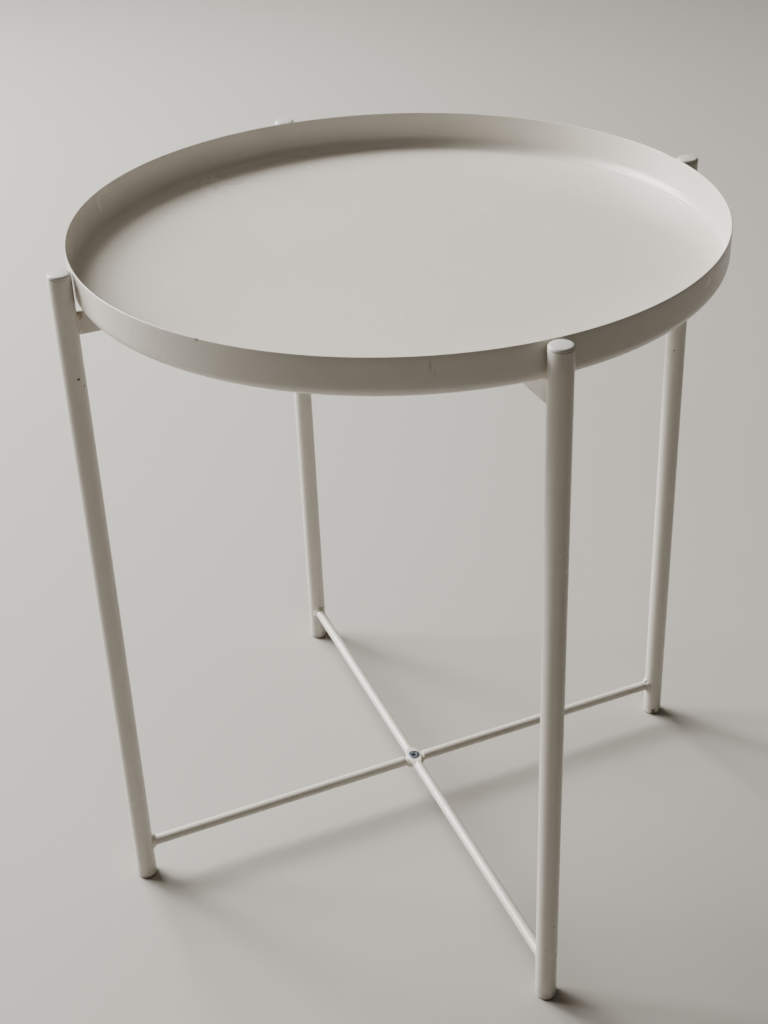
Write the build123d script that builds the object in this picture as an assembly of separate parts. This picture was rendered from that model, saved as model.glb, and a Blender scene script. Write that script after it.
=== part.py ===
from build123d import *
import math
import os

os.makedirs("parts", exist_ok=True)

# Tray table: a lift-off steel tray that rests on two crossed flat bars between four tube legs.
# Origin at the centre of the floor footprint, +Z up, legs on the diagonals of the X-Y plane.
# All sizes in millimetres.

# Tray, one deep-drawn sheet
TRAY_DIAMETER = 445.0
TRAY_RIM_HEIGHT = 524.0
TRAY_DEPTH = 27.5
TRAY_SHEET = 1.0
TRAY_CORNER_RADIUS = 9.0

# Legs, four round tubes that lean in slightly towards the top
LEG_DIAMETER = 15.5
LEG_WALL = 1.2
LEG_RADIUS_AT_FLOOR = 238.3
LEG_RADIUS_AT_RIM = 230.7
LEG_TUBE_START = 3.0
LEG_TUBE_END = 521.7

# Plastic plug in the top of each leg
PLUG_LIP_HEIGHT = 2.2
PLUG_DOME_HEIGHT = 0.6
PLUG_EDGE_RADIUS = 1.6
PLUG_GROOVE = 0.4
PLUG_STEM_LENGTH = 15.0
PLUG_STEM_BORE = 9.0

# Plastic glide in the bottom of each leg
GLIDE_EDGE_RADIUS = 2.2
GLIDE_GROOVE = 0.2
GLIDE_STEM_LENGTH = 14.0
GLIDE_STEM_BORE = 8.0

# Both stems share one section: a core with three raised rings that grip the tube
STEM_CORE_DIAMETER = 12.3
STEM_RING_DIAMETER = 13.0
STEM_RING_HEIGHT = 1.2
STEM_RING_COUNT = 3

# Flat bars on edge that carry the tray, half-lapped where they cross
BAR_THICKNESS = 3.0
BAR_HEIGHT = 16.0
LAP_SIDE_GAP = 0.1
LAP_FLOOR_GAP = 0.2

# Round stretcher rods near the floor, pressed flat where they cross
ROD_DIAMETER = 8.2
ROD_HEIGHT = 31.5
PAD_WIDTH = 12.4
PAD_WIDTH_AT_END = 9.4
PAD_THICKNESS = 4.0
PAD_HALF_LENGTH = 6.5
PAD_CORNER_RADIUS = 1.2
ROD_ROUND_FROM = {"upper": 11.0, "lower": 8.8}

# Countersunk screw that goes through the upper pad into the tapped lower pad
SCREW_DIAMETER = 5.0
SCREW_HEAD_DIAMETER = 9.6
SCREW_HEAD_LAND = 0.4
SCREW_LENGTH = 7.7
SCREW_SOCKET_ACROSS_FLATS = 3.0
SCREW_SOCKET_DEPTH = 1.6
PAD_HOLE_DIAMETER = 5.4
COUNTERSINK_DIAMETER = 9.8

# Weld beads
ROD_WELD_REACH = 2.6
BAR_WELD_REACH = 1.8
WELD_OVERRUN = 1.0

# Worked out from the sizes above
LEG_RADIUS = LEG_DIAMETER / 2
LEG_LEAN = math.degrees(math.atan((LEG_RADIUS_AT_FLOOR - LEG_RADIUS_AT_RIM) / TRAY_RIM_HEIGHT))
TRAY_UNDERSIDE = TRAY_RIM_HEIGHT - TRAY_DEPTH
BAR_BOTTOM = TRAY_UNDERSIDE - BAR_HEIGHT
BAR_MIDDLE = TRAY_UNDERSIDE - BAR_HEIGHT / 2
PAD_TOP = ROD_HEIGHT + PAD_THICKNESS
LEG_ANGLES = {"back_right": 45, "back_left": 135, "front_left": 225, "front_right": 315}
FRAME_ANGLES = {"upper": 135, "lower": 45}
FRAME_LEGS = {"upper": (135, 315), "lower": (45, 225)}

BOTTOM = (Align.CENTER, Align.CENTER, Align.MIN)
TOP = (Align.CENTER, Align.CENTER, Align.MAX)


def save(shape, node):
    """Write one named piece to its own file."""
    shape.label = node
    export_step(shape, f"parts/{node}.step")


def group(solids):
    """Several separate solids that share one node."""
    return Compound(children=list(solids))


def on_leg(shape, angle):
    """Move a piece modelled on the Z axis onto the leaning axis of the leg at this angle."""
    return Rot(0, 0, angle) * Pos(LEG_RADIUS_AT_FLOOR, 0, 0) * Rot(0, -LEG_LEAN, 0) * shape


def leg_envelope(angle, radius=LEG_RADIUS):
    """Solid cylinder filling a leg, used to cope the pieces that are welded to it."""
    return on_leg(Pos(0, 0, -20) * Cylinder(radius, 600, align=BOTTOM), angle)


def leg_axis_radius(z):
    """Distance of the leg axis from the table's centre line at height z."""
    return LEG_RADIUS_AT_FLOOR - z * math.tan(math.radians(LEG_LEAN))


def stem(length, bore):
    """Hollow push-in stem that hangs below Z = 0, with raised grip rings."""
    body = Cylinder(STEM_CORE_DIAMETER / 2, length, align=TOP)
    pitch = length / (STEM_RING_COUNT + 1)
    for index in range(STEM_RING_COUNT):
        ring = Cylinder(STEM_RING_DIAMETER / 2, STEM_RING_HEIGHT)
        body += Pos(0, 0, -pitch * (index + 1)) * ring
    return body - Pos(0, 0, -1.5) * Cylinder(bore / 2, length, align=TOP)


def make_tray():
    """Round tray with an upright wall, a rounded bottom corner and a plain rim edge."""
    outer = Cylinder(TRAY_DIAMETER / 2, TRAY_DEPTH, align=BOTTOM)
    outer = fillet(outer.edges().sort_by(Axis.Z)[0], TRAY_CORNER_RADIUS)
    inner = Cylinder(TRAY_DIAMETER / 2 - TRAY_SHEET, TRAY_DEPTH, align=BOTTOM)
    inner = fillet(inner.edges().sort_by(Axis.Z)[0], TRAY_CORNER_RADIUS - TRAY_SHEET)
    tray = outer - Pos(0, 0, TRAY_SHEET) * inner
    rim_edges = tray.edges().sort_by(Axis.Z)[-2:]
    tray = fillet(rim_edges, TRAY_SHEET * 0.35)
    return Pos(0, 0, TRAY_UNDERSIDE) * tray


def make_leg():
    """Open tube, square cut at both ends."""
    outer = Cylinder(LEG_RADIUS, LEG_TUBE_END - LEG_TUBE_START, align=BOTTOM)
    bore = Cylinder(LEG_RADIUS - LEG_WALL, LEG_TUBE_END - LEG_TUBE_START, align=BOTTOM)
    return Pos(0, 0, LEG_TUBE_START) * (outer - bore)


def make_top_plug():
    """Plug with a low domed head and a thin shadow groove above the tube end."""
    neck = Cylinder(LEG_RADIUS - PLUG_GROOVE, PLUG_GROOVE, align=BOTTOM)
    dome_radius = (LEG_RADIUS**2 + PLUG_DOME_HEIGHT**2) / (2 * PLUG_DOME_HEIGHT)
    dome_centre = PLUG_LIP_HEIGHT + PLUG_DOME_HEIGHT - dome_radius
    middle = math.sqrt(dome_radius**2 - LEG_RADIUS**2 / 4) + dome_centre
    lip_edge = (LEG_RADIUS, PLUG_LIP_HEIGHT)
    crown = (0, PLUG_LIP_HEIGHT + PLUG_DOME_HEIGHT)
    outline = Polyline(crown, (0, PLUG_GROOVE), (LEG_RADIUS, PLUG_GROOVE), lip_edge)
    outline += ThreePointArc(lip_edge, (LEG_RADIUS / 2, middle), crown)
    profile = make_face(outline)
    corner = profile.vertices().group_by(Axis.X)[-1].sort_by(Axis.Y)[-1]
    profile = fillet(corner, PLUG_EDGE_RADIUS)
    head = revolve(Plane.XZ * profile, Axis.Z)
    return Pos(0, 0, LEG_TUBE_END) * (head + neck + stem(PLUG_STEM_LENGTH, PLUG_STEM_BORE))


def make_foot_glide():
    """Glide with a rounded lower edge and a stem that points up into the tube."""
    pad = Pos(0, 0, -0.5) * Cylinder(LEG_RADIUS, LEG_TUBE_START + 0.5 - GLIDE_GROOVE, align=BOTTOM)
    pad = fillet(pad.edges().sort_by(Axis.Z)[0], GLIDE_EDGE_RADIUS)
    neck = Pos(0, 0, LEG_TUBE_START) * Cylinder(LEG_RADIUS - GLIDE_GROOVE, GLIDE_GROOVE, align=TOP)
    push_in = Pos(0, 0, LEG_TUBE_START) * Rot(180, 0, 0) * stem(GLIDE_STEM_LENGTH, GLIDE_STEM_BORE)
    return pad + neck + push_in


def trim_at_floor(shape):
    """Cut a placed piece flat at floor level."""
    below = Box(700, 700, 20, align=TOP)
    return shape - below


def make_tray_bar(name):
    """Flat bar on edge from leg to leg, notched to half its height where the other bar crosses."""
    half_span = leg_axis_radius(BAR_MIDDLE)
    bar = Pos(0, 0, BAR_BOTTOM) * Box(2 * half_span, BAR_THICKNESS, BAR_HEIGHT, align=BOTTOM)
    notch_width = BAR_THICKNESS + 2 * LAP_SIDE_GAP
    notch = Box(notch_width, 2 * BAR_THICKNESS, BAR_HEIGHT / 2 + LAP_FLOOR_GAP)
    offset = BAR_HEIGHT / 4 - LAP_FLOOR_GAP / 2
    notch_height = BAR_MIDDLE - offset if name == "upper" else BAR_MIDDLE + offset
    bar = Rot(0, 0, FRAME_ANGLES[name]) * (bar - Pos(0, 0, notch_height) * notch)
    for angle in FRAME_LEGS[name]:
        bar -= leg_envelope(angle)
    return bar


def make_rod(name):
    """Round rod from leg to leg, pressed at its middle to a flat eye that takes the screw."""
    round_from = ROD_ROUND_FROM[name]
    half_span = leg_axis_radius(ROD_HEIGHT)
    side = 1 if name == "upper" else -1
    pad_height = side * PAD_THICKNESS / 2
    across = Rot(0, 90, 0)
    wide = across * RectangleRounded(PAD_THICKNESS, PAD_WIDTH, PAD_CORNER_RADIUS)
    narrow = across * RectangleRounded(PAD_THICKNESS, PAD_WIDTH_AT_END, PAD_CORNER_RADIUS)
    near_end = Pos(-PAD_HALF_LENGTH, 0, pad_height) * narrow
    middle = Pos(0, 0, pad_height) * wide
    far_end = Pos(PAD_HALF_LENGTH, 0, pad_height) * narrow
    rod = loft([near_end.face(), middle.face(), far_end.face()])
    full_round = Pos(round_from, 0, 0) * across * Circle(ROD_DIAMETER / 2)
    straight = across * Cylinder(ROD_DIAMETER / 2, half_span - round_from, align=BOTTOM)
    half = loft([far_end.face(), full_round.face()]) + Pos(round_from, 0, 0) * straight
    rod += half
    rod += mirror(half, Plane.YZ)
    hole_diameter = PAD_HOLE_DIAMETER if name == "upper" else SCREW_DIAMETER
    rod -= Cylinder(hole_diameter / 2, 4 * PAD_THICKNESS)
    if name == "upper":
        depth = (COUNTERSINK_DIAMETER - PAD_HOLE_DIAMETER) / 2
        cone = Cone(PAD_HOLE_DIAMETER / 2, COUNTERSINK_DIAMETER / 2, depth, align=TOP)
        rod -= Pos(0, 0, PAD_THICKNESS) * cone
    rod = Rot(0, 0, FRAME_ANGLES[name]) * Pos(0, 0, ROD_HEIGHT) * rod
    for angle in FRAME_LEGS[name]:
        rod -= leg_envelope(angle)
    return rod


def make_screw():
    """Countersunk screw with a hexagon socket, its head just proud of the pad."""
    head_radius = SCREW_HEAD_DIAMETER / 2
    cone_height = head_radius - SCREW_DIAMETER / 2
    head = Cone(SCREW_DIAMETER / 2, head_radius, cone_height, align=TOP)
    head += Cylinder(head_radius, SCREW_HEAD_LAND, align=BOTTOM)
    head = chamfer(head.edges().sort_by(Axis.Z)[-1], 0.15)
    shank = Cylinder(SCREW_DIAMETER / 2, SCREW_LENGTH, align=TOP)
    shank = chamfer(shank.edges().sort_by(Axis.Z)[0], 0.5)
    socket = RegularPolygon(SCREW_SOCKET_ACROSS_FLATS / 2, 6, major_radius=False)
    recess = extrude(Pos(0, 0, SCREW_HEAD_LAND) * socket, -SCREW_SOCKET_DEPTH)
    return Pos(0, 0, PAD_TOP) * (head + shank - recess)


def make_rod_welds(name, rod):
    """Fillet bead round each end of a rod, against the leg."""
    beads = []
    for angle in FRAME_LEGS[name]:
        end = leg_axis_radius(ROD_HEIGHT) - LEG_RADIUS
        length = ROD_WELD_REACH + WELD_OVERRUN + 2.0
        ring = Cone(ROD_DIAMETER / 2, ROD_DIAMETER / 2 + length, length, align=BOTTOM)
        ring = Pos(end - ROD_WELD_REACH, 0, ROD_HEIGHT) * Rot(0, 90, 0) * ring
        bead = Rot(0, 0, angle) * ring - leg_envelope(angle)
        bead -= rod
        limit = Pos(end - ROD_WELD_REACH, 0, ROD_HEIGHT) * Rot(0, 90, 0)
        keep = limit * Cylinder(ROD_DIAMETER / 2 + ROD_WELD_REACH, length, align=BOTTOM)
        bead = bead & (Rot(0, 0, angle) * keep)
        beads.append(bead.solids().sort_by(SortBy.VOLUME)[-1])
    return group(beads)


def make_bar_welds(name):
    """Upright fillet beads on both faces of each bar end, against the leg."""
    beads = []
    face = BAR_THICKNESS / 2
    end = leg_axis_radius(BAR_MIDDLE) - LEG_RADIUS
    for angle in FRAME_LEGS[name]:
        for side in (1, -1):
            outline = Polyline(
                (end - BAR_WELD_REACH, side * face),
                (end + 2.0, side * face),
                (end + 2.0, side * (face + BAR_WELD_REACH + 2.0)),
                close=True,
            )
            wedge = extrude(make_face(outline), BAR_HEIGHT - 2 * WELD_OVERRUN)
            wedge = Rot(0, 0, angle) * Pos(0, 0, BAR_BOTTOM + WELD_OVERRUN) * wedge
            bead = wedge - leg_envelope(angle)
            beads.append(bead.solids().sort_by(SortBy.VOLUME)[-1])
    return group(beads)


save(make_tray(), "tray")

for corner, corner_angle in LEG_ANGLES.items():
    save(on_leg(make_leg(), corner_angle), f"leg_{corner}")
    save(on_leg(make_top_plug(), corner_angle), f"top_plug_{corner}")
    save(trim_at_floor(on_leg(make_foot_glide(), corner_angle)), f"foot_glide_{corner}")

for frame in FRAME_ANGLES:
    frame_rod = make_rod(frame)
    save(make_tray_bar(frame), f"tray_bar_{frame}")
    save(frame_rod, f"stretcher_rod_{frame}")
    save(make_rod_welds(frame, frame_rod), f"rod_welds_{frame}")
    save(make_bar_welds(frame), f"bar_welds_{frame}")

save(make_screw(), "hub_screw")
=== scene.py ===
import math

import bmesh
import bpy
from mathutils import Matrix, Vector, noise


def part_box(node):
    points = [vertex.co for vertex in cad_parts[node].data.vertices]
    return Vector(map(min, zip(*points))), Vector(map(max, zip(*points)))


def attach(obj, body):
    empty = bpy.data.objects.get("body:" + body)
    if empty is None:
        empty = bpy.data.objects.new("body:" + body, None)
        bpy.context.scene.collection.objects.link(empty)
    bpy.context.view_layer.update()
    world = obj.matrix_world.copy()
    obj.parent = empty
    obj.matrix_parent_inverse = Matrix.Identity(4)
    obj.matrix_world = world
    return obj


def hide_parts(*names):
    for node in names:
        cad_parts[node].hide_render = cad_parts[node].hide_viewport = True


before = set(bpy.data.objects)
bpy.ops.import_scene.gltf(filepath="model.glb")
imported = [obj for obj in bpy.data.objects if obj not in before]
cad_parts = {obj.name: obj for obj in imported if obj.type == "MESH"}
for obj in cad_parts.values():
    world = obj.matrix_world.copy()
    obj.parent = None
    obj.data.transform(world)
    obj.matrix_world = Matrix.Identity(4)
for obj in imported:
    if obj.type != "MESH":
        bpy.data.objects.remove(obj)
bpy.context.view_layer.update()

MM = 0.001
EVEN = (1.0, 1.0, 1.0)

# Edges sharper than these angles, in degrees, stay hard when the rest is shaded smooth
SHARP_ANGLE = 38.0
BAR_SHARP_ANGLE = 30.0
SCREW_SHARP_ANGLE = 32.0
WELD_SHARP_ANGLE = 70.0
MERGE_DISTANCE = 1e-7

# ---------------------------------------------------------------- sizes read from the CAD frame
TRAY_LOW, TRAY_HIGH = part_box("tray")
TRAY_RADIUS = (TRAY_HIGH.x - TRAY_LOW.x) / 2
TRAY_UNDERSIDE = TRAY_LOW.z
TRAY_RIM = TRAY_HIGH.z
BAR_LOW, BAR_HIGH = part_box("tray_bar_upper")
SCREW_LOW, SCREW_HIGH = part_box("hub_screw")

# ---------------------------------------------------------------- detail sizes, in metres
TRAY_SHEET = 1.0 * MM
TRAY_CORNER = 9.0 * MM
TRAY_RIM_ROUND = 0.42 * MM
TRAY_FLOOR_WAVE = 0.22 * MM
TRAY_WALL_WAVE = 0.16 * MM

LEG_RADIUS = 7.75 * MM
LEG_BORE = 6.55 * MM
LEG_START = 3.0 * MM
LEG_END = 521.7 * MM
LEG_EDGE = 0.35 * MM

PLUG_GROOVE = 0.4 * MM
GLIDE_GROOVE = 0.2 * MM
PLUG_RADIUS = 7.8 * MM
PLUG_HEIGHT = 2.8 * MM
PLUG_CROWN = 0.35 * MM
PLUG_SHOULDER = 1.9 * MM
PLUG_EDGE = 0.15 * MM
STEM_RADIUS = 6.15 * MM
STEM_RING = 6.5 * MM
STEM_RING_HEIGHT = 1.2 * MM
PLUG_STEM = 15.0 * MM
PLUG_BORE = 4.5 * MM
GLIDE_STEM = 14.0 * MM
GLIDE_BORE = 4.0 * MM
GLIDE_EDGE = 2.2 * MM
GLIDE_LIP = 0.15 * MM

BAR_HALF_THICKNESS = 1.5 * MM
BAR_EDGE = 0.45 * MM
LAP_GAP = 0.1 * MM
BAR_SINK = 0.15 * MM

ROD_RADIUS = 4.1 * MM
ROD_SINK = 0.12 * MM
ROD_HEIGHT = 31.5 * MM
PAD_HALF_WIDTH = 6.2 * MM
PAD_HALF_WIDTH_AT_END = 4.7 * MM
PAD_HALF_THICKNESS = 2.0 * MM
PAD_ROUND = 1.2 * MM
PAD_HALF_LENGTH = 6.5 * MM
PAD_HOLE = {"upper": 2.7 * MM, "lower": 2.5 * MM}
COUNTERSINK = 4.95 * MM
# Where a rod is fully round again, measured from the hub
ROUND_FROM = {"upper": 11.0 * MM, "lower": 8.8 * MM}

SCREW_RADIUS = 2.5 * MM
SCREW_HEAD = 4.8 * MM
SCREW_LAND = 0.4 * MM
SCREW_PITCH = 0.8 * MM
SOCKET_HALF_FLATS = 1.5 * MM
SOCKET_DEPTH = 1.6 * MM
SCREW_POLE = 0.02 * MM
THREAD_DEPTH = 0.42 * MM

ROD_WELD = 2.3 * MM
BAR_WELD = 2.0 * MM
ROD_WELD_MOST = 3.4 * MM
BEAD_SINK = 0.06 * MM

LEGS = {"back_right": 45, "back_left": 135, "front_left": 225, "front_right": 315}
FRAMES = {"upper": ("back_left", "front_right"), "lower": ("front_left", "back_right")}
FRAME_TURN = {"upper": 315, "lower": 45}


# ---------------------------------------------------------------- mesh helpers
def new_object(name, data):
    data.name = name
    obj = bpy.data.objects.new(name, data)
    bpy.context.scene.collection.objects.link(obj)
    return obj


def new_bmesh(verts, faces):
    """An editable mesh from plain points and faces, and the Blender mesh that it came from."""
    mesh = bpy.data.meshes.new("piece")
    mesh.from_pydata([tuple(v) for v in verts], [], faces)
    mesh.validate()
    bm = bmesh.new()
    bm.from_mesh(mesh)
    return bm, mesh


def write_bmesh(bm, mesh):
    """Turns every face outward and writes the result back."""
    bmesh.ops.recalc_face_normals(bm, faces=bm.faces)
    bm.to_mesh(mesh)
    bm.free()


def add_piece(name, verts, faces, body, node, material, sharp=SHARP_ANGLE):
    """A closed mesh piece in the row frame that rides on a body and stands for a CAD node."""
    bm, mesh = new_bmesh(verts, faces)
    bmesh.ops.remove_doubles(bm, verts=bm.verts, dist=MERGE_DISTANCE)
    write_bmesh(bm, mesh)
    obj = new_object(name, mesh)
    finish_piece(obj, body, node, material, sharp)
    return obj


def finish_piece(obj, body, node, material, sharp=SHARP_ANGLE):
    """Smooth shading with hard edges kept, one material, and the piece's place in the frame."""
    smooth(obj.data, sharp)
    obj.data.materials.clear()
    obj.data.materials.append(material)
    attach(obj, body)
    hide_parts(node)


def smooth(mesh, sharp=SHARP_ANGLE):
    mesh.polygons.foreach_set("use_smooth", [True] * len(mesh.polygons))
    mesh.set_sharp_from_angle(angle=math.radians(sharp))


def apply_modifiers(obj):
    """Bakes the modifier stack into the mesh."""
    depsgraph = bpy.context.evaluated_depsgraph_get()
    mesh = bpy.data.meshes.new_from_object(obj.evaluated_get(depsgraph))
    obj.modifiers.clear()
    obj.data = mesh


def arc(centre, radius, start, end, steps):
    """Points on a circle in the (r, z) plane, angles in degrees."""
    points = []
    for i in range(steps + 1):
        a = math.radians(start + (end - start) * i / steps)
        points.append((centre[0] + radius * math.cos(a), centre[1] + radius * math.sin(a)))
    return points


def lathe(profile, segments, closed=False):
    """Revolves an (r, z) profile about Z. Points with r = 0 become poles."""
    verts, rings, faces = [], [], []
    for r, z in profile:
        if r < 1e-9:
            rings.append([len(verts)])
            verts.append(Vector((0, 0, z)))
            continue
        ring = []
        for k in range(segments):
            a = 2 * math.pi * k / segments
            ring.append(len(verts))
            verts.append(Vector((r * math.cos(a), r * math.sin(a), z)))
        rings.append(ring)
    pairs = list(zip(rings, rings[1:]))
    if closed:
        pairs.append((rings[-1], rings[0]))
    for low, high in pairs:
        for k in range(segments):
            n = (k + 1) % segments
            if len(low) == 1 and len(high) == 1:
                continue
            if len(low) == 1:
                faces.append((low[0], high[n], high[k]))
            elif len(high) == 1:
                faces.append((low[k], low[n], high[0]))
            else:
                faces.append((low[k], low[n], high[n], high[k]))
    return verts, faces


def loft(rings, cap=True, closed_path=False):
    """Skins rings that have the same number of points."""
    count = len(rings[0])
    verts = [p for ring in rings for p in ring]
    faces = []
    total = len(rings)
    for i in range(total if closed_path else total - 1):
        j = (i + 1) % total
        for k in range(count):
            n = (k + 1) % count
            faces.append((i * count + k, i * count + n, j * count + n, j * count + k))
    if cap and not closed_path:
        faces.append(tuple(reversed(range(count))))
        faces.append(tuple(range((total - 1) * count, total * count)))
    return verts, faces


def move(verts, matrix):
    return [matrix @ Vector(v) for v in verts]


def turn_z(degrees):
    return Matrix.Rotation(math.radians(degrees), 4, "Z")


def ease(t):
    t = min(max(t, 0.0), 1.0)
    return t * t * (3 - 2 * t)


def wobble(a, b, seed):
    """Smooth repeatable noise from -1 to 1."""
    return noise.noise(Vector((a + 17.3 * seed, b - 5.1 * seed, 3.7 * seed)))


# ---------------------------------------------------------------- where the legs stand
def leg_matrix(corner):
    """Local Z along the leg axis with Z = 0 at the floor, local -X towards the table's centre."""
    foot_low, foot_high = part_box(f"foot_glide_{corner}")
    plug_low, plug_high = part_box(f"top_plug_{corner}")
    foot = (foot_low + foot_high) / 2
    direction = ((plug_low + plug_high) / 2 - foot).normalized()
    base = foot - direction * (foot.z / direction.z)
    outward = Vector((base.x, base.y, 0)).normalized()
    side = direction.cross(outward).normalized()
    outward = side.cross(direction).normalized()
    matrix = Matrix((outward, side, direction)).transposed().to_4x4()
    matrix.translation = base
    return matrix


LEG_MATRIX = {corner: leg_matrix(corner) for corner in LEGS}


def leg_reach(corner, z):
    """Distance of a leg's axis from the table's centre line at height z."""
    matrix = LEG_MATRIX[corner]
    axis = matrix.to_3x3() @ Vector((0, 0, 1))
    point = matrix.translation + axis * (z / axis.z)
    return math.hypot(point.x, point.y)


def tube_face(reach, side):
    """How far out the near face of a leg tube is, at a sideways distance from the rod or bar."""
    return reach - math.sqrt(max(LEG_RADIUS**2 - side**2, 0.0))


# ---------------------------------------------------------------- node graph helpers
class Graph:
    """Builds one procedural material. Every pattern follows the piece's own coordinates."""

    def __init__(self, name):
        self.material = bpy.data.materials.new(name)
        self.material.use_nodes = True
        self.tree = self.material.node_tree
        self.shader = self.tree.nodes["Principled BSDF"]
        self.place = self.tree.nodes.new("ShaderNodeTexCoord").outputs["Object"]

    def feed(self, socket, value):
        if isinstance(value, bpy.types.NodeSocket):
            self.tree.links.new(value, socket)
        else:
            socket.default_value = value

    def vector(self, operation, a, b=None, out="Vector"):
        node = self.tree.nodes.new("ShaderNodeVectorMath")
        node.operation = operation
        self.feed(node.inputs[0], a)
        if b is not None:
            self.feed(node.inputs[1], b)
        return node.outputs[out]

    def scaled(self, x, y, z, turn):
        """The coordinates, turned about Z and scaled along each axis."""
        node = self.tree.nodes.new("ShaderNodeMapping")
        node.inputs["Rotation"].default_value = (0, 0, math.radians(turn))
        node.inputs["Scale"].default_value = (x, y, z)
        self.feed(node.inputs["Vector"], self.place)
        return node.outputs["Vector"]

    def noise(self, scale, detail=2.0, rough=0.5, place=None, offset=0.0):
        node = self.tree.nodes.new("ShaderNodeTexNoise")
        node.noise_dimensions = "4D"
        node.inputs["W"].default_value = offset
        node.inputs["Scale"].default_value = scale
        node.inputs["Detail"].default_value = detail
        node.inputs["Roughness"].default_value = rough
        self.feed(node.inputs["Vector"], place or self.place)
        return node.outputs["Fac"]

    def span(self, value, low, high, out_low=0.0, out_high=1.0, soft=False):
        node = self.tree.nodes.new("ShaderNodeMapRange")
        node.interpolation_type = "SMOOTHSTEP" if soft else "LINEAR"
        self.feed(node.inputs["Value"], value)
        node.inputs["From Min"].default_value = low
        node.inputs["From Max"].default_value = high
        node.inputs["To Min"].default_value = out_low
        node.inputs["To Max"].default_value = out_high
        return node.outputs["Result"]

    def math(self, operation, a, b=0.0, clamp=False):
        node = self.tree.nodes.new("ShaderNodeMath")
        node.operation = operation
        node.use_clamp = clamp
        self.feed(node.inputs[0], a)
        self.feed(node.inputs[1], b)
        return node.outputs["Value"]

    def times(self, a, b):
        return self.math("MULTIPLY", a, b)

    def plus(self, a, b, clamp=False):
        return self.math("ADD", a, b, clamp=clamp)

    def minus(self, a, b):
        return self.math("SUBTRACT", a, b)

    def height(self):
        """Height above the floor with the table at rest. It stays with a piece that moves."""
        node = self.tree.nodes.new("ShaderNodeSeparateXYZ")
        self.feed(node.inputs[0], self.place)
        return node.outputs["Z"]

    def tint(self, colour, mask, strength, target):
        """Blends towards the target colour where the mask is 1."""
        return self.mix(self.times(mask, strength), colour, target)

    def mix(self, factor, a, b):
        node = self.tree.nodes.new("ShaderNodeMix")
        node.data_type = "RGBA"
        self.feed(node.inputs["Factor"], factor)
        self.feed(node.inputs[6], a if isinstance(a, bpy.types.NodeSocket) else (*a, 1.0))
        self.feed(node.inputs[7], b if isinstance(b, bpy.types.NodeSocket) else (*b, 1.0))
        return node.outputs[2]

    def bump(self, height, distance, strength):
        node = self.tree.nodes.new("ShaderNodeBump")
        node.inputs["Strength"].default_value = strength
        node.inputs["Distance"].default_value = distance
        self.feed(node.inputs["Height"], height)
        return node.outputs["Normal"]

    def spot(self, centre, radius, stretch=EVEN, edge=0.45, ragged=0.35, seed=0.0, place=None):
        """A ragged patch, 1 inside and 0 outside, round one point given in millimetres."""
        offset = self.vector("SUBTRACT", place or self.place, tuple(c * MM for c in centre))
        if stretch != EVEN:
            offset = self.vector("MULTIPLY", offset, stretch)
        distance = self.vector("LENGTH", offset, out="Value")
        rag = self.noise(1.6 / (radius * MM), 3.0, 0.6, offset=seed)
        rag = self.span(rag, 0.25, 0.75, -ragged * radius * MM, ragged * radius * MM)
        distance = self.plus(distance, rag)
        return self.span(distance, radius * MM, radius * MM * (1 - edge), soft=True)

    def most(self, *values):
        result = values[0]
        for value in values[1:]:
            result = self.math("MAXIMUM", result, value)
        return result

    def close(self, colour, roughness, normal, specular=0.5, metallic=0.0):
        self.feed(self.shader.inputs["Base Color"], colour)
        self.feed(self.shader.inputs["Roughness"], roughness)
        self.feed(self.shader.inputs["Normal"], normal)
        self.shader.inputs["Specular IOR Level"].default_value = specular
        self.shader.inputs["Metallic"].default_value = metallic
        return self.material


# ---------------------------------------------------------------- colours, linear
COAT_LIGHT = (0.800, 0.778, 0.728)
COAT_DEEP = (0.752, 0.728, 0.672)
COAT_WARM = (0.745, 0.692, 0.610)
RUST = (0.165, 0.078, 0.034)
PRIMER = (0.235, 0.190, 0.140)
RUST_LIGHT = (0.36, 0.21, 0.12)
# painted shade colour for the front bar's end under the tray
BAR_END_SHADE = (0.330, 0.285, 0.220)
# dirt colour; on the glides' lowest edge it also stands in for painted contact shade
GRIME_AND_CONTACT_SHADE = (0.115, 0.098, 0.080)
SMUDGE = (0.600, 0.575, 0.520)
CHIP_DEPTH = 3.0


def coat_base(graph, seed, smoothest, roughest):
    """Powder coat: two close off-whites in broad clouds, fine mottling, and an orange-peel skin."""
    clouds = graph.span(graph.noise(9.0, 3.0, 0.55, offset=seed), 0.34, 0.68)
    mottle = graph.span(graph.noise(95.0, 4.0, 0.6, offset=seed + 1.0), 0.3, 0.7)
    blend = graph.plus(graph.times(clouds, 0.6), graph.times(mottle, 0.4))
    colour = graph.mix(blend, COAT_DEEP, COAT_LIGHT)
    fleck = graph.span(graph.noise(1500.0, 1.0, 0.5, offset=seed + 2.0), 0.70, 0.76, 0.0, 0.32)
    colour = graph.mix(fleck, colour, COAT_WARM)
    peel = graph.noise(620.0, 2.5, 0.5, offset=seed + 3.0)
    swell = graph.noise(120.0, 2.0, 0.45, offset=seed + 4.0)
    skin = graph.plus(peel, graph.times(swell, 1.6))
    handled = graph.noise(22.0, 4.0, 0.62, offset=seed + 5.0)
    handled = graph.span(handled, 0.3, 0.72, smoothest, roughest)
    return colour, handled, skin


def scratches(graph, turn, seed, along=11.0, across=900.0):
    """Sparse hairlines that run along one direction."""
    place = graph.scaled(along, across, along, turn=turn)
    line = graph.noise(1.0, 2.0, 0.5, place=place, offset=seed)
    gate = graph.span(graph.noise(13.0, 2.0, 0.5, offset=seed + 9.0), 0.54, 0.64)
    return graph.times(graph.span(line, 0.735, 0.775), gate)


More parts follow.
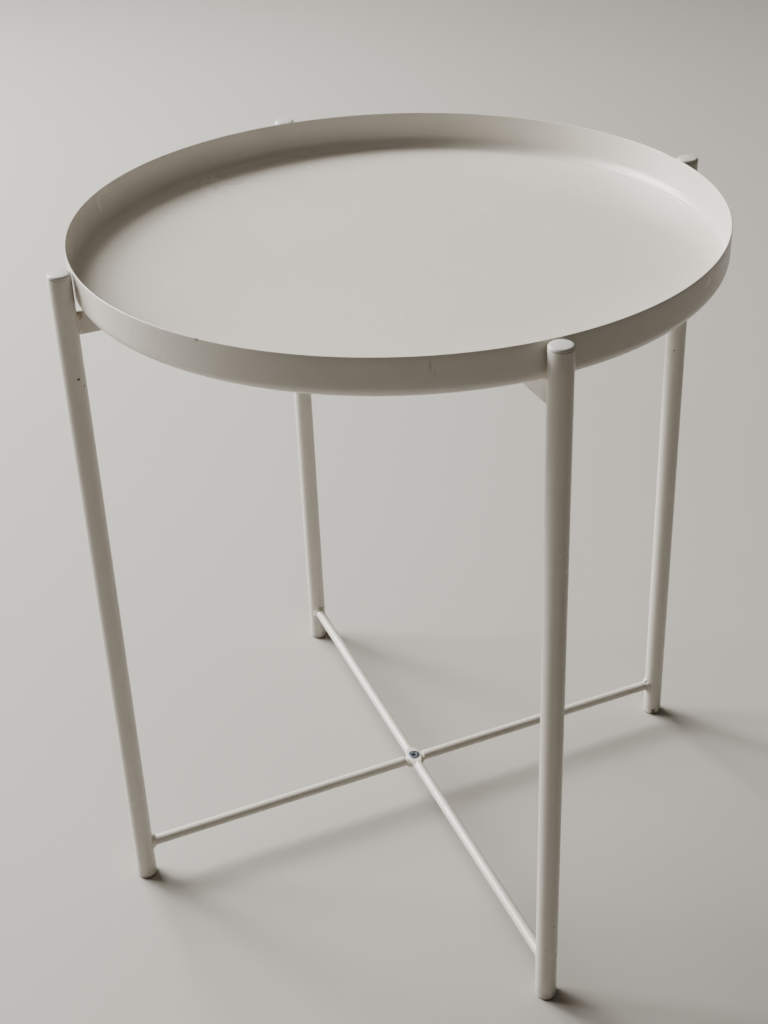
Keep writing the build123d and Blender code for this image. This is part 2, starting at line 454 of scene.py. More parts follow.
def tray_material():
    graph = Graph("tray_powder_coat")
    colour, roughness, skin = coat_base(graph, 1.0, 0.22, 0.28)
    flat_place = graph.vector("MULTIPLY", graph.place, (1.0, 1.0, 0.0))
    radius = graph.vector("LENGTH", flat_place, out="Value")
    height = graph.height()

    # dust and wiping marks that collect in the bottom corner
    edge = graph.span(radius, 0.204, 0.220, soft=True)
    low = graph.span(height, TRAY_UNDERSIDE + 0.0075, TRAY_UNDERSIDE + 0.0012, soft=True)
    patch = graph.span(graph.noise(38.0, 4.0, 0.65, offset=7.0), 0.40, 0.66)
    corner = graph.times(graph.times(edge, low), patch)
    colour = graph.tint(colour, corner, 0.20, SMUDGE)

    # broad wiped patches
    smear = graph.span(graph.noise(6.0, 5.0, 0.7, offset=8.0), 0.48, 0.70)
    colour = graph.tint(colour, smear, 0.10, SMUDGE)
    roughness = graph.plus(roughness, graph.times(smear, 0.03))

    lines = graph.most(
        scratches(graph, 12.0, 21.0),
        scratches(graph, 74.0, 22.0, along=15.0),
        scratches(graph, 131.0, 23.0, along=8.0, across=1100.0),
    )
    colour = graph.tint(colour, lines, 0.08, SMUDGE)

    # small knocks that reach the primer, a faint brown mark on the outer wall, and rubbed places
    chips = graph.most(
        graph.spot((-33.5, -220.0, 523.6), 1.5, (1.0, 1.0, 1.1), seed=31.0),
        graph.spot((92.0, -5.5, 497.5), 0.75, seed=32.0),
        graph.spot((150.5, 162.5, 523.7), 1.0, seed=33.0),
        graph.spot((-214.0, 57.5, 523.6), 0.9, seed=34.0),
        graph.spot((-78.0, 96.0, 497.5), 0.6, seed=35.0),
        graph.spot((216.0, -48.0, 499.0), 1.1, seed=36.0),
    )
    runs = graph.most(
        graph.spot((99.5, -199.0, 518.0), 1.5, (1.0, 1.0, 0.26), edge=0.9, ragged=0.5, seed=41.0),
        graph.spot((101.7, -197.9, 513.0), 0.7, (1.0, 1.0, 0.22), edge=0.9, ragged=0.5, seed=42.0),
    )
    rubbed = graph.most(
        graph.spot((154.0, -160.6, 508.0), 6.0, (1.0, 1.0, 0.55), edge=0.9, ragged=0.5, seed=43.0),
        graph.spot((-157.0, -157.8, 508.0), 5.0, (1.0, 1.0, 0.55), edge=0.9, ragged=0.5, seed=44.0),
    )
    colour = graph.tint(colour, rubbed, 0.28, COAT_WARM)
    colour = graph.tint(colour, runs, 0.26, RUST_LIGHT)
    colour = graph.tint(colour, chips, 0.72, PRIMER)
    roughness = graph.plus(roughness, graph.times(chips, 0.3), clamp=True)

    skin = graph.minus(skin, graph.times(chips, CHIP_DEPTH))
    skin = graph.minus(skin, graph.times(lines, 0.12))
    normal = graph.bump(skin, 0.00006, 0.55)
    return graph.close(colour, roughness, normal)


def frame_material():
    graph = Graph("frame_powder_coat")
    colour, roughness, skin = coat_base(graph, 5.0, 0.17, 0.30)
    height = graph.height()
    quarter = graph.vector("ABSOLUTE", graph.place)

    # the legs carry a dirty band at the floor and light scuffing above it
    foot = graph.span(height, 0.012, 0.0032, soft=True)
    patch = graph.span(graph.noise(240.0, 4.0, 0.65, offset=12.0), 0.42, 0.62)
    colour = graph.tint(colour, graph.times(foot, patch), 0.30, GRIME_AND_CONTACT_SHADE)
    scuffed = graph.span(height, 0.11, 0.015, soft=True)
    scuff = graph.span(graph.noise(70.0, 5.0, 0.7, offset=13.0), 0.52, 0.66)
    scuff = graph.times(scuffed, scuff)
    colour = graph.tint(colour, scuff, 0.22, SMUDGE)

    # thin, slightly scorched coat round the welds
    joint = graph.most(
        graph.spot((159.8, 159.8, 488.0), 12.0, (1.0, 1.0, 0.8), 0.9, 0.5, 51.0, quarter),
        graph.spot((163.0, 163.0, 31.5), 7.5, EVEN, 0.9, 0.5, 52.0, quarter),
    )
    colour = graph.tint(colour, joint, 0.42, COAT_WARM)

    # painted shade: the front bar's end under the tray is darkened brown, standing in for the
    # tray's shadow on it
    painted_bar_end_shade = graph.spot((155.5, -155.5, 487.0), 11.0, edge=0.95, ragged=0.6, seed=53.0)
    colour = graph.tint(colour, painted_bar_end_shade, 0.34, BAR_END_SHADE)

    rust = graph.most(
        graph.spot((-156.2, -158.2, 494.4), 2.9, (1.0, 1.0, 0.72), 0.75, 0.5, seed=61.0),
        graph.spot((153.6, -155.6, 481.8), 2.4, (1.0, 1.0, 0.6), edge=0.8, ragged=0.8, seed=62.0),
        graph.spot((153.8, -156.0, 490.0), 1.6, (1.0, 1.0, 0.6), edge=0.8, ragged=0.8, seed=63.0),
    )
    colour = graph.tint(colour, rust, 0.62, RUST_LIGHT)

    chips = graph.most(
        graph.spot((-157.3, -168.0, 452.5), 1.3, seed=71.0),
        graph.spot((-156.2, -164.3, 446.5), 0.9, seed=72.0),
        graph.spot((-160.6, -165.3, 56.1), 1.1, seed=73.0),
        graph.spot((165.4, 157.0, 371.3), 0.7, seed=74.0),
        graph.spot((174.1, -172.2, 75.2), 0.8, seed=75.0),
        graph.spot((-171.8, 162.0, 212.0), 0.9, seed=76.0),
        graph.spot((171.4, 161.3, 5.2), 2.4, edge=0.6, ragged=0.8, seed=77.0),
        graph.spot((154.4, -156.6, 482.2), 1.5, (1.0, 1.0, 0.55), edge=0.7, ragged=0.9, seed=78.0),
    )
    colour = graph.tint(colour, chips, 0.9, RUST)
    worn = graph.most(chips, scuff)
    roughness = graph.plus(roughness, graph.times(worn, 0.18), clamp=True)

    skin = graph.minus(skin, graph.times(chips, CHIP_DEPTH))
    normal = graph.bump(skin, 0.00006, 0.6)
    return graph.close(colour, roughness, normal)


def plug_material():
    graph = Graph("moulded_plug")
    cloud = graph.span(graph.noise(160.0, 3.0, 0.6, offset=80.0), 0.3, 0.7)
    colour = graph.mix(cloud, (0.665, 0.670, 0.640), (0.730, 0.733, 0.705))
    dust = graph.span(graph.noise(520.0, 3.0, 0.7, offset=81.0), 0.56, 0.70, 0.0, 0.25)
    colour = graph.mix(dust, colour, SMUDGE)
    roughness = graph.span(graph.noise(300.0, 3.0, 0.6, offset=82.0), 0.3, 0.7, 0.34, 0.50)
    grain = graph.noise(2600.0, 2.0, 0.55, offset=83.0)
    return graph.close(colour, roughness, graph.bump(grain, 0.00003, 0.5))


def glide_material():
    graph = Graph("worn_glide")
    # dirt and painted contact shade: the glide is darkened all round towards its lowest edge,
    # unevenly in strength but never gone
    low = graph.span(graph.height(), 0.0026, 0.0006, soft=True)
    cloud = graph.span(graph.noise(210.0, 4.0, 0.65, offset=90.0), 0.3, 0.7)
    colour = graph.mix(cloud, (0.690, 0.670, 0.620), (0.760, 0.742, 0.694))
    dirt_and_contact_shade = graph.span(graph.noise(330.0, 4.0, 0.7, offset=91.0), 0.36, 0.60)
    dirt_and_contact_shade = graph.times(low, graph.span(dirt_and_contact_shade, 0.0, 1.0, 0.55, 1.0))
    spot = graph.spot((171.4, 161.3, 1.9), 3.4, edge=0.5, ragged=0.7, seed=92.0)
    colour = graph.tint(colour, graph.most(dirt_and_contact_shade, spot), 0.85, GRIME_AND_CONTACT_SHADE)
    roughness = graph.span(graph.noise(260.0, 3.0, 0.6, offset=93.0), 0.3, 0.7, 0.55, 0.74)
    grain = graph.noise(1500.0, 3.0, 0.6, offset=94.0)
    return graph.close(colour, roughness, graph.bump(grain, 0.00005, 0.6))


def zinc_material():
    graph = Graph("zinc_plate")
    tarnish = graph.span(graph.noise(420.0, 4.0, 0.65, offset=100.0), 0.34, 0.68)
    colour = graph.mix(tarnish, (0.205, 0.235, 0.285), (0.42, 0.455, 0.505))
    stain = graph.span(graph.noise(900.0, 3.0, 0.6, offset=101.0), 0.58, 0.68, 0.0, 0.45)
    colour = graph.mix(stain, colour, (0.13, 0.12, 0.11))
    roughness = graph.span(graph.noise(700.0, 3.0, 0.6, offset=102.0), 0.3, 0.7, 0.30, 0.50)
    turned = graph.tree.nodes.new("ShaderNodeTexWave")
    turned.wave_type = "RINGS"
    turned.rings_direction = "Z"
    turned.inputs["Scale"].default_value = 1100.0
    turned.inputs["Distortion"].default_value = 1.2
    graph.feed(turned.inputs["Vector"], graph.place)
    normal = graph.bump(turned.outputs["Fac"], 0.00002, 0.4)
    return graph.close(colour, roughness, normal, metallic=1.0)


TRAY_COAT = tray_material()
FRAME_COAT = frame_material()
PLUG_PLASTIC = plug_material()
GLIDE_PLASTIC = glide_material()
ZINC = zinc_material()


# ---------------------------------------------------------------- tray
def make_tray():
    """Pressed tray: both skins, rolled bottom corner, thin rounded rim and slight waves."""
    depth = TRAY_RIM - TRAY_UNDERSIDE
    upright = depth - TRAY_CORNER - TRAY_RIM_ROUND
    inner = TRAY_RADIUS - TRAY_SHEET
    inner_corner = TRAY_CORNER - TRAY_SHEET
    flat = TRAY_RADIUS - TRAY_CORNER
    steps = [flat * i / 20 for i in range(20)]
    profile = [(r, 0.0) for r in steps]
    profile += arc((flat, TRAY_CORNER), TRAY_CORNER, -90, 0, 12)
    profile += [(TRAY_RADIUS, TRAY_CORNER + upright * i / 4) for i in (1, 2, 3)]
    profile += arc((TRAY_RADIUS - TRAY_RIM_ROUND, depth - TRAY_RIM_ROUND), TRAY_RIM_ROUND, 0, 90, 4)
    profile += arc((inner + TRAY_RIM_ROUND, depth - TRAY_RIM_ROUND), TRAY_RIM_ROUND, 90, 180, 4)
    profile += [(inner, depth - TRAY_RIM_ROUND - upright * i / 4) for i in (1, 2, 3)]
    profile += arc((inner - inner_corner, TRAY_CORNER), inner_corner, 0, -90, 12)
    profile += [(r * (inner - inner_corner) / flat, TRAY_SHEET) for r in reversed(steps)]
    verts, faces = lathe(profile, 256)
    shaped = []
    for v in verts:
        r = math.hypot(v.x, v.y)
        a = math.atan2(v.y, v.x)
        floor_share = ease((0.214 - r) / 0.06) * ease(r / 0.03)
        wave = 0.5 + 0.5 * wobble(v.x * 11, v.y * 11, 2.0)
        lift = TRAY_FLOOR_WAVE * wave * floor_share
        up = ease((v.z - 0.008) / (depth - 0.008))
        sway = TRAY_WALL_WAVE * up * (0.6 * math.sin(2 * a + 0.7) + 0.4 * math.sin(5 * a + 2.1))
        pull = (r - min(abs(sway), TRAY_WALL_WAVE) * (1 if sway > 0 else 0)) / r if r > 0.2 else 1.0
        shaped.append(Vector((v.x * pull, v.y * pull, v.z + lift + TRAY_UNDERSIDE)))
    add_piece("tray_shell", shaped, faces, "tray", "tray", TRAY_COAT)


# ---------------------------------------------------------------- legs, plugs and glides
def stem_profile(start, length, bore, sign):
    """Push-in stem with three rounded grip rings, from its root to the open end and up the bore."""
    points = [(STEM_RADIUS, start)]
    pitch = length / 4
    for ring in (1, 2, 3):
        middle = start + sign * pitch * ring
        half = STEM_RING_HEIGHT / 2
        points.append((STEM_RADIUS, middle - sign * half * 1.25))
        points.append((STEM_RING, middle - sign * half * 0.5))
        points.append((STEM_RING, middle + sign * half * 0.5))
        points.append((STEM_RADIUS, middle + sign * half * 1.25))
    end = start + sign * length
    points.append((STEM_RADIUS, end - sign * 0.4 * MM))
    points.append((STEM_RADIUS - 0.4 * MM, end))
    points.append((bore + 0.3 * MM, end))
    points.append((bore, end - sign * 0.3 * MM))
    points.append((bore, start + sign * 1.8 * MM))
    points.append((bore - 0.3 * MM, start + sign * 1.5 * MM))
    points.append((0.0, start + sign * 1.5 * MM))
    return points


def make_leg(corner):
    """Drawn tube with softened ends and a trace of out-of-round."""
    profile = [(LEG_BORE, LEG_START + LEG_EDGE)]
    profile += arc((LEG_BORE + LEG_EDGE, LEG_START + LEG_EDGE), LEG_EDGE, 180, 270, 3)[1:]
    profile += arc((LEG_RADIUS - LEG_EDGE, LEG_START + LEG_EDGE), LEG_EDGE, 270, 360, 4)
    profile += [(LEG_RADIUS, LEG_START + (LEG_END - LEG_START) * i / 24) for i in range(1, 24)]
    profile += arc((LEG_RADIUS - LEG_EDGE, LEG_END - LEG_EDGE), LEG_EDGE, 0, 90, 4)
    profile += arc((LEG_BORE + LEG_EDGE, LEG_END - LEG_EDGE), LEG_EDGE, 90, 180, 3)
    profile += [(LEG_BORE, LEG_END - (LEG_END - LEG_START) * i / 4) for i in (1, 2, 3)]
    verts, faces = lathe(profile, 64, closed=True)
    seed = LEGS[corner] / 45
    shaped = []
    for v in verts:
        bow = 0.05 * MM * wobble(v.z * 9, 0.0, seed)
        shaped.append(Vector((v.x + bow, v.y - bow, v.z)))
    verts = move(shaped, LEG_MATRIX[corner])
    add_piece(f"tube_{corner}", verts, faces, "frame", f"leg_{corner}", FRAME_COAT)


def make_plug(corner):
    """Moulded plug: shadow groove, short upright lip, round shoulder and a low crown."""
    base = LEG_END + PLUG_GROOVE
    top = LEG_END + PLUG_HEIGHT
    shoulder = PLUG_RADIUS - PLUG_SHOULDER
    shoulder_top = top - PLUG_CROWN
    profile = [(0.0, top)]
    crown_steps = (0.15, 0.3, 0.45, 0.6, 0.75, 0.88)
    profile += [(shoulder * t, top - PLUG_CROWN * t * t) for t in crown_steps]
    profile += arc((shoulder, shoulder_top - PLUG_SHOULDER), PLUG_SHOULDER, 80, 0, 12)
    profile += arc((PLUG_RADIUS - PLUG_EDGE, base + PLUG_EDGE), PLUG_EDGE, 0, -90, 4)
    profile.append((LEG_RADIUS - PLUG_GROOVE, base))
    profile.append((LEG_RADIUS - PLUG_GROOVE, LEG_END))
    profile += stem_profile(LEG_END, PLUG_STEM, PLUG_BORE, -1)
    verts, faces = lathe(profile, 64)
    verts = move(verts, LEG_MATRIX[corner])
    node = f"top_plug_{corner}"
    add_piece(f"cap_{corner}", verts, faces, "frame", node, PLUG_PLASTIC)


def make_glide(corner):
    """Moulded glide with a round lower edge, cut flat where it stands on the floor."""
    top = LEG_START - GLIDE_GROOVE
    low = -0.5 * MM
    profile = [(0.0, low), (3.0 * MM, low)]
    profile += arc((LEG_RADIUS - GLIDE_EDGE, low + GLIDE_EDGE), GLIDE_EDGE, -90, 0, 10)
    profile += arc((LEG_RADIUS - GLIDE_LIP, top - GLIDE_LIP), GLIDE_LIP, 0, 90, 3)
    profile.append((LEG_RADIUS - GLIDE_GROOVE, top))
    profile.append((LEG_RADIUS - GLIDE_GROOVE, LEG_START))
    profile += stem_profile(LEG_START, GLIDE_STEM, GLIDE_BORE, 1)
    verts, faces = lathe(profile, 64)
    bm, mesh = new_bmesh(move(verts, LEG_MATRIX[corner]), faces)
    cut = bmesh.ops.bisect_plane(
        bm,
        geom=bm.verts[:] + bm.edges[:] + bm.faces[:],
        plane_co=(0, 0, 0),
        plane_no=(0, 0, 1),
        clear_inner=True,
    )
    rim = [e for e in cut["geom_cut"] if isinstance(e, bmesh.types.BMEdge)]
    bmesh.ops.holes_fill(bm, edges=rim)
    write_bmesh(bm, mesh)
    obj = new_object(f"glide_{corner}", mesh)
    finish_piece(obj, "frame", f"foot_glide_{corner}", GLIDE_PLASTIC)


# ---------------------------------------------------------------- bars under the tray
def make_bar(name):
    """Flat bar on edge with rolled edges, notched for its half-lap and coped to both tubes."""
    corners = FRAMES[name]
    middle = (BAR_LOW.z + BAR_HIGH.z) / 2
    notch_half = BAR_HALF_THICKNESS + LAP_GAP
    upper = name == "upper"
    notch_from = BAR_LOW.z if upper else middle - LAP_GAP
    notch_to = middle + LAP_GAP if upper else BAR_HIGH.z
    left = -leg_reach(corners[0], middle)
    right = leg_reach(corners[1], middle)
    notch = [
        (notch_half, notch_from),
        (notch_half, notch_to),
        (-notch_half, notch_to),
        (-notch_half, notch_from),
    ]
    outline = [(left, BAR_LOW.z), (left, BAR_HIGH.z)]
    if upper:
        outline += [(right, BAR_HIGH.z), (right, BAR_LOW.z)] + notch
    else:
        outline += notch[2:] + notch[:2] + [(right, BAR_HIGH.z), (right, BAR_LOW.z)]
    bm = bmesh.new()
    near = [bm.verts.new((x, -BAR_HALF_THICKNESS, z)) for x, z in outline]
    face = bm.faces.new(near)
    pushed = bmesh.ops.extrude_face_region(bm, geom=[face])
    far = [g for g in pushed["geom"] if isinstance(g, bmesh.types.BMVert)]
    bmesh.ops.translate(bm, verts=far, vec=(0, 2 * BAR_HALF_THICKNESS, 0))
    bmesh.ops.recalc_face_normals(bm, faces=bm.faces)
    # only the long rolled edges are round, the sawn notch stays crisp
    long_edges = []
    for edge in bm.edges:
        a, b = (v.co for v in edge.verts)
        along_x = abs(a.z - b.z) < 1e-6 and abs(a.y - b.y) < 1e-6
        if along_x and min(abs(a.z - BAR_LOW.z), abs(a.z - BAR_HIGH.z)) < 1e-6:
            long_edges.append(edge)
    bmesh.ops.bevel(bm, geom=long_edges, offset=BAR_EDGE, segments=4, profile=0.5, affect="EDGES")
    bmesh.ops.triangulate(bm, faces=[f for f in bm.faces if len(f.verts) > 4])
    for v in bm.verts:
        if abs(v.co.x) > 0.1:
            reach = leg_reach(corners[0 if v.co.x < 0 else 1], v.co.z)
            v.co.x = math.copysign(tube_face(reach, v.co.y) + BAR_SINK, v.co.x)
    bm.transform(turn_z(FRAME_TURN[name]))
    mesh = bpy.data.meshes.new("piece")
    write_bmesh(bm, mesh)
    obj = new_object(f"bar_{name}", mesh)
    finish_piece(obj, "frame", f"tray_bar_{name}", FRAME_COAT, sharp=BAR_SHARP_ANGLE)


# ---------------------------------------------------------------- rods and hub
def rounded_section(half_y, half_z, round_by, count):
    """Points at equal spacing round a rounded rectangle, starting on +Y."""
    path = []
    corners = ((1, 1, 0), (-1, 1, 90), (-1, -1, 180), (1, -1, 270))
    for sy, sz, start in corners:
        centre = (sy * (half_y - round_by), sz * (half_z - round_by))
        path += arc(centre, round_by, start, start + 90, 10)
    start_point = (half_y, 0.0)
    path = [start_point] + path + [start_point]
    lengths = [0.0]
    for a, b in zip(path, path[1:]):
        lengths.append(lengths[-1] + math.dist(a, b))
    points = []
    i = 0
    for k in range(count):
        target = lengths[-1] * k / count
        while lengths[i + 1] < target:
            i += 1
        gap = lengths[i + 1] - lengths[i]
        t = (target - lengths[i]) / gap if gap else 0.0
        a, b = path[i], path[i + 1]
        points.append((a[0] + (b[0] - a[0]) * t, a[1] + (b[1] - a[1]) * t))
    return points


def pad_section(x, lift, count):
    """The pressed eye's section: widest over the screw and narrower towards its ends."""
    t = min(x / PAD_HALF_LENGTH, 1.0)
    half_width = PAD_HALF_WIDTH - (PAD_HALF_WIDTH - PAD_HALF_WIDTH_AT_END) * t * t
    section = rounded_section(half_width, PAD_HALF_THICKNESS, PAD_ROUND, count)
    return [(y, z + lift) for y, z in section]


def make_rod(name):
    """Round rod pressed to a flat drilled eye at its middle, coped to a tube at each end."""
    count = 64
    lift = PAD_HALF_THICKNESS if name == "upper" else -PAD_HALF_THICKNESS
    turns = [2 * math.pi * k / count for k in range(count)]
    rod = [(ROD_RADIUS * math.cos(a), ROD_RADIUS * math.sin(a)) for a in turns]
    seed = 3.0 if name == "upper" else 4.0
    round_from = ROUND_FROM[name]
    shift = round_from - PAD_HALF_LENGTH
    stations = [PAD_HALF_LENGTH * i / 10 for i in range(10)]
    stations += [PAD_HALF_LENGTH + shift * i / 14 for i in range(15)]
    ends = [leg_reach(corner, ROD_HEIGHT) for corner in FRAMES[name]]
    rings = []
    for side in (-1, 1):
        reach = ends[0] if side < 0 else ends[1]
        last = reach - LEG_RADIUS - 3.0 * MM
        out = stations + [round_from + (last - round_from) * i / 30 for i in range(1, 31)]
        half = []
        for x in out:
            t = ease((x - PAD_HALF_LENGTH) / shift)
            bow = 0.06 * MM * wobble(side * x * 14, 1.0, seed) * ease((x - 0.02) / 0.03)
            ring = []
            for (py, pz), (ry, rz) in zip(pad_section(x, lift, count), rod):
                y = py + (ry - py) * t + bow
                z = pz + (rz - pz) * t + bow
                ring.append(Vector((side * x, y, z + ROD_HEIGHT)))
            half.append(ring)
        end = []
        for ry, rz in rod:
            end.append(Vector((side * (tube_face(reach, ry) + ROD_SINK), ry, rz + ROD_HEIGHT)))
        half.append(end)
        rings = list(reversed(half)) if side < 0 else rings + half[1:]
    verts, faces = loft(rings)
    verts = move(verts, turn_z(FRAME_TURN[name]))
    node = f"stretcher_rod_{name}"
    obj = add_piece(f"rod_{name}", verts, faces, "frame", node, FRAME_COAT)
    drill(obj, name)


def drill(obj, name):
    """Cuts the screw hole, and the countersink in the upper eye."""
    top = ROD_HEIGHT + 2 * PAD_HALF_THICKNESS
    low = ROD_HEIGHT - 3 * PAD_HALF_THICKNESS
    hole = PAD_HOLE[name]
    profile = [(0.0, low), (hole, low)]
    if name == "upper":
        profile.append((hole, top - (COUNTERSINK - hole)))
        profile.append((COUNTERSINK, top))
        profile.append((COUNTERSINK, top + 2 * MM))
        profile.append((0.0, top + 2 * MM))
    else:
        profile.append((hole, ROD_HEIGHT + 2 * MM))
        profile.append((0.0, ROD_HEIGHT + 2 * MM))
    verts, faces = lathe(profile, 48)
    bm, mesh = new_bmesh(verts, faces)
    write_bmesh(bm, mesh)
    cutter = new_object("drill", mesh)
    cut = obj.modifiers.new("hole", "BOOLEAN")
    cut.operation = "DIFFERENCE"
    cut.solver = "EXACT"
    cut.object = cutter
    apply_modifiers(obj)
    bpy.data.objects.remove(cutter)
    smooth(obj.data)


def hexagon_radius(half_flats, a):
    """Distance to the side of a hexagon in the direction a."""
    sector = (a + math.pi / 6) % (math.pi / 3) - math.pi / 6
    return half_flats / math.cos(sector)


def make_screw():
    """Countersunk screw with a hexagon socket and a cut thread."""
    count = 72
    top = SCREW_HIGH.z
    low = SCREW_LOW.z
    turns = [2 * math.pi * k / count for k in range(count)]

    def ring(radius, z):
        return [Vector((radius * math.cos(a), radius * math.sin(a), z)) for a in turns]

    def hexagon(half_flats, z):
        points = []
        for a in turns:
            radius = hexagon_radius(half_flats, a)
            points.append(Vector((radius * math.cos(a), radius * math.sin(a), z)))
        return points

    rings = [ring(SCREW_POLE, top - SOCKET_DEPTH - 0.35 * MM)]
    rings.append(ring(1.0 * MM, top - SOCKET_DEPTH - 0.1 * MM))
    rings.append(hexagon(SOCKET_HALF_FLATS - 0.05 * MM, top - SOCKET_DEPTH))
    rings.append(hexagon(SOCKET_HALF_FLATS, top - 0.3 * MM))
    rings.append(hexagon(SOCKET_HALF_FLATS + 0.18 * MM, top - 0.04 * MM))
    rings.append(ring(SCREW_HEAD * 0.62, top))
    rings.append(ring(SCREW_HEAD - 0.2 * MM, top))
    rings.append(ring(SCREW_HEAD - 0.06 * MM, top - 0.06 * MM))
    rings.append(ring(SCREW_HEAD, top - 0.2 * MM))
    rings.append(ring(SCREW_HEAD, top - SCREW_LAND))
    neck = top - SCREW_LAND - (SCREW_HEAD - SCREW_RADIUS)
    rings.append(ring(SCREW_RADIUS, neck))
    start = neck - 0.4 * MM
    rows = int((start - low) / SCREW_PITCH * 8)
    for i in range(rows + 1):
        z = start + (low - start) * i / rows
        depth = THREAD_DEPTH * ease(i / 8)
        taper = 0.5 * MM * ease((z - low) / -SCREW_PITCH + 1.0)
        current = []
        for a in turns:
            phase = (z / SCREW_PITCH - a / (2 * math.pi)) % 1.0
            radius = SCREW_RADIUS - depth * abs(2 * phase - 1) - taper
            current.append(Vector((radius * math.cos(a), radius * math.sin(a), z)))
        rings.append(current)
    rings.append(ring(SCREW_POLE, low))
    verts, faces = loft(rings)
    add_piece("hub_bolt", verts, faces, "frame", "hub_screw", ZINC, sharp=SCREW_SHARP_ANGLE)


# ---------------------------------------------------------------- welds
def bead_section(toe, heel, root, corner_point, across, crown):
    """A bead's section: a curve from toe to heel that bulges away from the corner, and its root."""
    chord = (toe + heel) / 2
    control = chord + (chord - corner_point) * crown
    points = []
    for i in range(across + 1):
        t = i / across
        points.append(toe * (1 - t) ** 2 + control * 2 * t * (1 - t) + heel * t * t)
    points.append(root)
    return points


def make_rod_bead(corner, turn, seed, crown):
    """One lumpy bead round a rod's end. crown is where the welder left most metal, in degrees."""
    reach = leg_reach(corner, ROD_HEIGHT)
    count, across = 96, 9
    rings = []
    for k in range(count):
        a = 2 * math.pi * k / count
        swell = 1 + 0.24 * wobble(math.cos(a) * 1.9, math.sin(a) * 1.9, seed)
        swell += 0.30 * max(math.cos(a - math.radians(crown)), 0.0) ** 4
        ripple = 0.16 * MM * math.sin(11 * a + seed)
        size = min(ROD_WELD * swell + ripple, ROD_WELD_MOST)
        c, s = math.cos(a), math.sin(a)
        face = tube_face(reach, ROD_RADIUS * c)
        on_rod = ROD_RADIUS - BEAD_SINK
        inside = ROD_RADIUS - 0.5 * MM
        wide = ROD_RADIUS + size * 0.92
        toe = Vector((face - size, on_rod * c, on_rod * s))
        heel = Vector((tube_face(reach, wide * c) + BEAD_SINK, wide * c, wide * s))
        root = Vector((face + 0.5 * MM, inside * c, inside * s))
        corner_point = Vector((face, ROD_RADIUS * c, ROD_RADIUS * s))
        ring = bead_section(toe, heel, root, corner_point, across, 0.42)
        rings.append([p + Vector((0, 0, ROD_HEIGHT)) for p in ring])
    verts, faces = loft(rings, closed_path=True)
    return move(verts, turn_z(turn)), faces


def make_bar_bead(corner, turn, side, seed):
    """One upright bead in the corner between a bar face and a tube, thin at both ends."""
    low = BAR_LOW.z + 0.8 * MM
    high = BAR_HIGH.z - 0.8 * MM
    rows, across = 44, 8
    rings = []
    for k in range(rows + 1):
        t = k / rows
        z = low + (high - low) * t
        reach = leg_reach(corner, z)
        end = min(t, 1 - t) * 2
        share = math.sqrt(max(1 - (1 - min(end * 3.2, 1.0)) ** 2, 0.0))
        lumps = 1 + 0.22 * wobble(t * 5, 0.0, seed) + 0.07 * math.sin(t * 42 + seed)
        size = BAR_WELD * lumps * share + 0.04 * MM
        face = BAR_HALF_THICKNESS - 0.05 * MM
        wide = face + size * 0.95
        toe = Vector((tube_face(reach, face) - size, side * face, z))
        heel = Vector((tube_face(reach, wide) + BEAD_SINK, side * wide, z))
        root = Vector((tube_face(reach, face) + 0.4 * MM, side * (face - 0.4 * MM), z))
        corner_point = Vector((tube_face(reach, face), side * face, z))
        rings.append(bead_section(toe, heel, root, corner_point, across, 0.35))
    verts, faces = loft(rings)
    return move(verts, turn_z(turn)), faces


def join(parts):
    verts, faces = [], []
    for more, sides in parts:
        base = len(verts)
        verts += more
        faces += [tuple(i + base for i in face) for face in sides]
    return verts, faces


def make_welds(name):
    rods, bars = [], []
    for index, corner in enumerate(FRAMES[name]):
        turn = LEGS[corner]
        seed = turn / 45 + 0.6
        rods.append(make_rod_bead(corner, turn, seed, crown=(115, 70)[index]))
        for side in (-1, 1):
            bars.append(make_bar_bead(corner, turn, side, seed + side * 0.4))
    for kind, parts in (("rod", rods), ("bar", bars)):
        verts, faces = join(parts)
        node = f"{kind}_welds_{name}"
        piece = f"{kind}_beads_{name}"
        add_piece(piece, verts, faces, "frame", node, FRAME_COAT, WELD_SHARP_ANGLE)


make_tray()
for leg_corner in LEGS:
    make_leg(leg_corner)
    make_plug(leg_corner)
    make_glide(leg_corner)
for frame_name in FRAMES:
    make_bar(frame_name)
    make_rod(frame_name)
    make_welds(frame_name)
make_screw()


# ---------------------------------------------------------------- floor, light and camera
FLOOR_HALF_SIZE = 9.0
FLOOR_TONES = ((0.500, 0.487, 0.458), (0.525, 0.513, 0.486))
WORLD_COLOUR = (1.0, 0.82, 0.60, 1.0)
WORLD_STRENGTH = 0.078
AIM = Vector((0, 0, 0.25))
# name, azimuth and elevation in degrees, distance, size, power, colour
LIGHTS = (
    ("window", 157.5, 43.0, 4.2, 1.9, 180.0, (1.0, 0.98, 0.955)),
    ("side_window", 179.0, 26.0, 4.2, 2.2, 264.0, (1.0, 0.98, 0.96)),
    ("ceiling", 120.0, 84.0, 3.4, 3.0, 15.0, (1.0, 0.97, 0.92)),
)
CAMERA_PLACE = (0.35217, -0.84993, 0.8692)
CAMERA_HEADING = 23.474
CAMERA_PITCH_DOWN = 31.337
CAMERA_ROLL = -2.342
CAMERA_LENS = 50.08
CAMERA_SENSOR = 36.0
CAMERA_SHIFT = (-0.0006, -0.0287)
EXPOSURE = -0.32


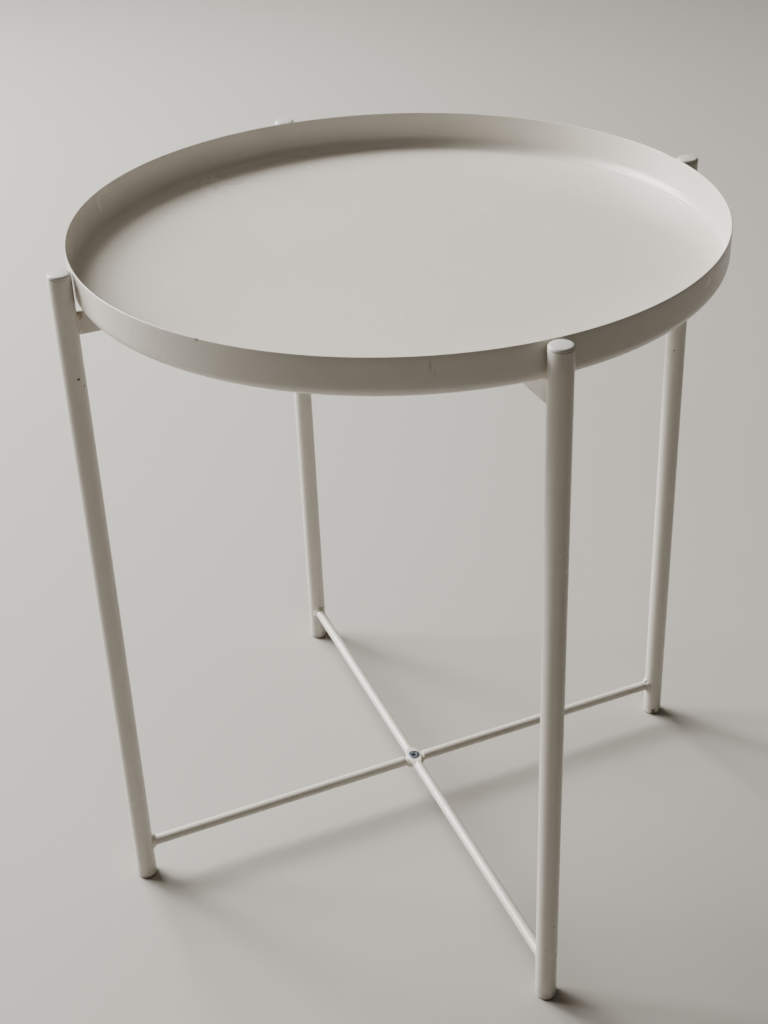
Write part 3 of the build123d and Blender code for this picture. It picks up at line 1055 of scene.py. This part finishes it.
def make_floor():
    graph = Graph("studio_floor")
    cloud = graph.noise(2.2, 3.0, 0.5, offset=200.0)
    colour = graph.mix(cloud, *FLOOR_TONES)
    normal = graph.bump(graph.noise(260.0, 3.0, 0.6, offset=201.0), 0.0001, 0.25)
    graph.close(colour, 0.72, normal, specular=0.3)
    mesh = bpy.data.meshes.new("floor")
    bm = bmesh.new()
    bmesh.ops.create_grid(bm, x_segments=2, y_segments=2, size=FLOOR_HALF_SIZE)
    bm.to_mesh(mesh)
    bm.free()
    floor = new_object("floor", mesh)
    mesh.materials.append(graph.material)


def make_light(name, azimuth, elevation, distance, size, power, colour):
    """A square soft box that looks at the table. Azimuth is measured from +X, in degrees."""
    a, e = math.radians(azimuth), math.radians(elevation)
    out = Vector((math.cos(a) * math.cos(e), math.sin(a) * math.cos(e), math.sin(e)))
    place = out * distance + AIM
    data = bpy.data.lights.new(name, "AREA")
    data.shape = "SQUARE"
    data.size = size
    data.energy = power
    data.color = colour
    light = new_object(name, data)
    light.location = place
    light.rotation_euler = (AIM - place).to_track_quat("-Z", "Y").to_euler()


def make_world():
    world = bpy.data.worlds.new("studio")
    world.use_nodes = True
    background = world.node_tree.nodes["Background"]
    background.inputs["Color"].default_value = WORLD_COLOUR
    background.inputs["Strength"].default_value = WORLD_STRENGTH
    bpy.context.scene.world = world


def make_camera():
    data = bpy.data.cameras.new("camera")
    data.sensor_fit = "AUTO"
    data.sensor_width = CAMERA_SENSOR
    data.lens = CAMERA_LENS
    data.shift_x, data.shift_y = CAMERA_SHIFT
    data.clip_start = 0.05
    data.clip_end = 40.0
    camera = new_object("camera", data)
    heading = turn_z(CAMERA_HEADING)
    tilt = Matrix.Rotation(math.radians(90 - CAMERA_PITCH_DOWN), 4, "X")
    roll = turn_z(CAMERA_ROLL)
    camera.matrix_world = Matrix.Translation(CAMERA_PLACE) @ heading @ tilt @ roll
    bpy.context.scene.camera = camera


make_floor()
make_world()
for settings in LIGHTS:
    make_light(*settings)
make_camera()
view = bpy.context.scene.view_settings
view.view_transform = "AgX"
view.look = "AgX - Medium High Contrast"
view.exposure = EXPOSURE
